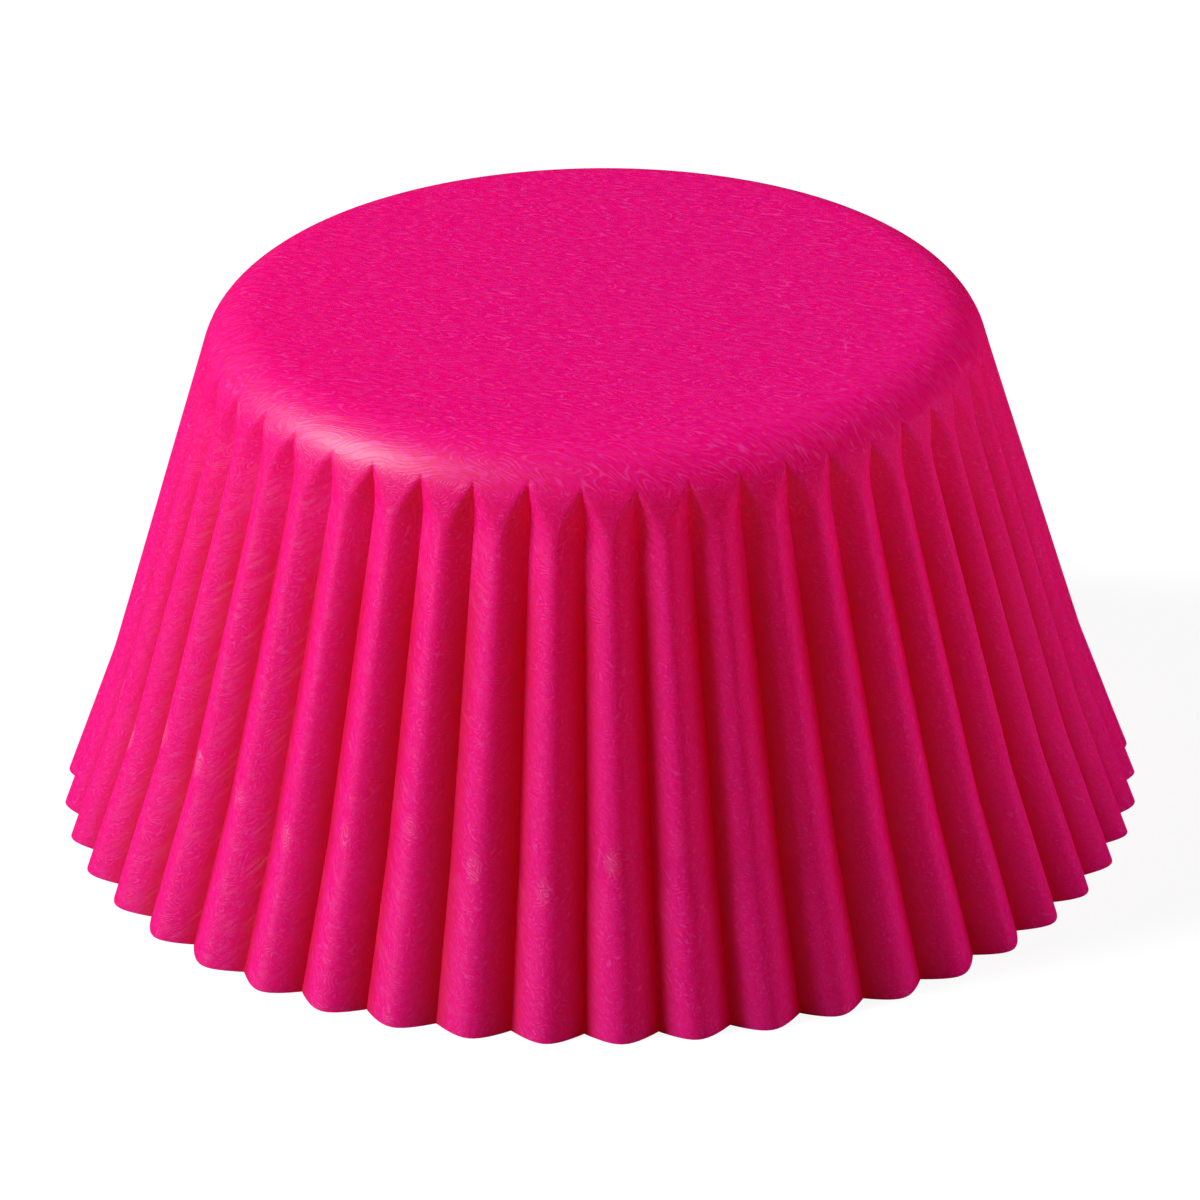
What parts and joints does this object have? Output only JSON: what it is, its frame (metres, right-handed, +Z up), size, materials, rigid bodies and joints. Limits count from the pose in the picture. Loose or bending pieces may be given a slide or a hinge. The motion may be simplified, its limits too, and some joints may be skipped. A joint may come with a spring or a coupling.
{
  "type": "cupcake liner",
  "caption": "Pleated paper baking cup standing upside down on its rim: flat closed base, rounded corner and a flared wall of even flutes that holds cake batter in a muffin tin.",
  "frame": {"origin": "middle of the rim's plane, on the surface that the upturned cup stands on", "axes": "+Z up from the open rim to the closed base, along the cup's axis; X and Y each pass through the ridge of a flute"},
  "size_m": [0.07, 0.07, 0.034],
  "materials": {
    "magenta_paper": "dyed greaseproof paper, satin, with fine fibres showing"
  },
  "bodies": {
    "root": {"pleated_liner": "magenta_paper"}
  },
  "joints": []
}
